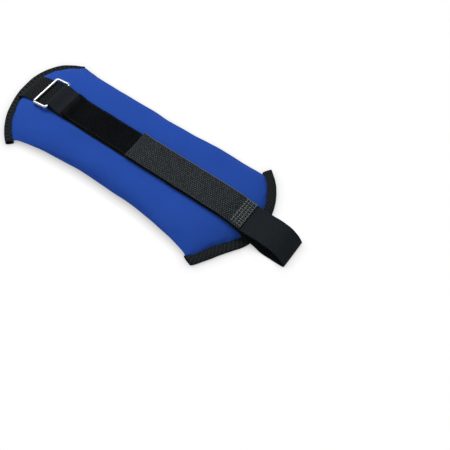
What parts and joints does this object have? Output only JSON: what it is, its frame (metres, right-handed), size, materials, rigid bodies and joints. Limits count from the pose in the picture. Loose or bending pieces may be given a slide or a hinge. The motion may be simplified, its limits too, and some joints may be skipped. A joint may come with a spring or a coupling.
{
  "type": "ankle cuff weight",
  "caption": "Soft weighted cuff that wraps round an ankle or wrist and is held by a hook-and-loop strap passed through a metal ring.",
  "frame": {"origin": "centre of the flat inner face, which rests on z = 0", "axes": "+X along the cuff from the ring end to the strap end, +Y across it, +Z out of the outer face that carries the strap"},
  "size_m": [0.325, 0.134, 0.0248],
  "materials": {
    "neoprene": "smooth blue fabric-faced neoprene, matte",
    "webbing": "black polypropylene webbing, dull sheen",
    "tape": "black woven binding tape, ribbed",
    "loop_pile": "black brushed loop tape, deep matte",
    "hook_back": "charcoal woven back of hook tape, gridded",
    "hooks": "black moulded nylon hooks",
    "chrome": "bright nickel-chrome plated steel wire",
    "pouch_cloth": "plain grey woven pouch cloth",
    "iron_sand": "loose dark iron sand"
  },
  "bodies": {
    "pad_1": {"sleeve_1": "neoprene", "pouch_1": "pouch_cloth", "weight_fill_1": "iron_sand", "base_webbing_1": "webbing", "binding_ring_end": "tape"},
    "pad_2": {"sleeve_2": "neoprene", "pouch_2": "pouch_cloth", "weight_fill_2": "iron_sand", "base_webbing_2": "webbing", "loop_strip_2": "loop_pile", "anchor_loop": "webbing"},
    "pad_3": {"sleeve_3": "neoprene", "pouch_3": "pouch_cloth", "weight_fill_3": "iron_sand", "base_webbing_3": "webbing", "loop_strip_3": "loop_pile"},
    "pad_4": {"sleeve_4": "neoprene", "pouch_4": "pouch_cloth", "weight_fill_4": "iron_sand", "base_webbing_4": "webbing", "loop_strip_4": "loop_pile"},
    "pad_5": {"sleeve_5": "neoprene", "pouch_5": "pouch_cloth", "weight_fill_5": "iron_sand", "base_webbing_5": "webbing", "loop_strip_5": "loop_pile"},
    "pad_6": {"sleeve_6": "neoprene", "pouch_6": "pouch_cloth", "weight_fill_6": "iron_sand", "base_webbing_6": "webbing", "loop_strip_6": "loop_pile"},
    "pad_7": {"sleeve_7": "neoprene", "pouch_7": "pouch_cloth", "weight_fill_7": "iron_sand", "base_webbing_7": "webbing", "loop_strip_7": "loop_pile", "binding_strap_end": "tape"},
    "ring": {"ring": "chrome"},
    "tail_4": {"hook_field_4": "hooks", "hook_tape_4": "hook_back"},
    "tail_5": {"hook_field_5": "hooks", "hook_tape_5": "hook_back"},
    "tail_6": {"hook_field_6": "hooks", "hook_tape_6": "hook_back"},
    "tail_7": {"hook_field_7": "hooks", "hook_tape_7": "hook_back", "return_webbing": "webbing"}
  },
  "joints": [
    {"name": "wrap", "type": "hinge", "parent": "pad_4", "child": "pad_5", "pos_m": [0.02, 0, 0.016], "axis": [0, 1, 0], "range_deg": [0, 40]},
    {"name": "wrap_6", "type": "hinge", "parent": "pad_5", "child": "pad_6", "pos_m": [0.06, 0, 0.016], "axis": [0, 1, 0], "range_deg": [0, 40]},
    {"name": "wrap_7", "type": "hinge", "parent": "pad_6", "child": "pad_7", "pos_m": [0.1, 0, 0.016], "axis": [0, 1, 0], "range_deg": [0, 40]},
    {"name": "wrap_3", "type": "hinge", "parent": "pad_4", "child": "pad_3", "pos_m": [-0.02, 0, 0.016], "axis": [0, -1, 0], "range_deg": [0, 40]},
    {"name": "wrap_2", "type": "hinge", "parent": "pad_3", "child": "pad_2", "pos_m": [-0.06, 0, 0.016], "axis": [0, -1, 0], "range_deg": [0, 40]},
    {"name": "wrap_1", "type": "hinge", "parent": "pad_2", "child": "pad_1", "pos_m": [-0.1, 0, 0.016], "axis": [0, -1, 0], "range_deg": [0, 40]},
    {"name": "tail_fold_6", "type": "hinge", "parent": "tail_7", "child": "tail_6", "pos_m": [0.1, 0, 0.016], "axis": [0, -1, 0], "range_deg": [0, 40]},
    {"name": "tail_fold_5", "type": "hinge", "parent": "tail_6", "child": "tail_5", "pos_m": [0.06, 0, 0.016], "axis": [0, -1, 0], "range_deg": [0, 40]},
    {"name": "tail_fold_4", "type": "hinge", "parent": "tail_5", "child": "tail_4", "pos_m": [0.02, 0, 0.016], "axis": [0, -1, 0], "range_deg": [0, 40]},
    {"name": "tail_peel", "type": "hinge", "parent": "pad_7", "child": "tail_7", "pos_m": [0.179, 0, 0.0026], "axis": [0, 1, 0], "range_deg": [0, 150]},
    {"name": "ring_flip", "type": "hinge", "parent": "pad_2", "child": "ring", "pos_m": [-0.0986, 0, 0.0217], "axis": [0, 1, 0], "range_deg": [0, 165]}
  ],
  "couplings": [
    {"joint": "wrap_6", "follows": "wrap", "ratio": 1},
    {"joint": "wrap_7", "follows": "wrap", "ratio": 1},
    {"joint": "wrap_3", "follows": "wrap", "ratio": 1},
    {"joint": "wrap_2", "follows": "wrap", "ratio": 1},
    {"joint": "wrap_1", "follows": "wrap", "ratio": 1},
    {"joint": "tail_fold_6", "follows": "wrap", "ratio": 1},
    {"joint": "tail_fold_5", "follows": "wrap", "ratio": 1},
    {"joint": "tail_fold_4", "follows": "wrap", "ratio": 1}
  ]
}
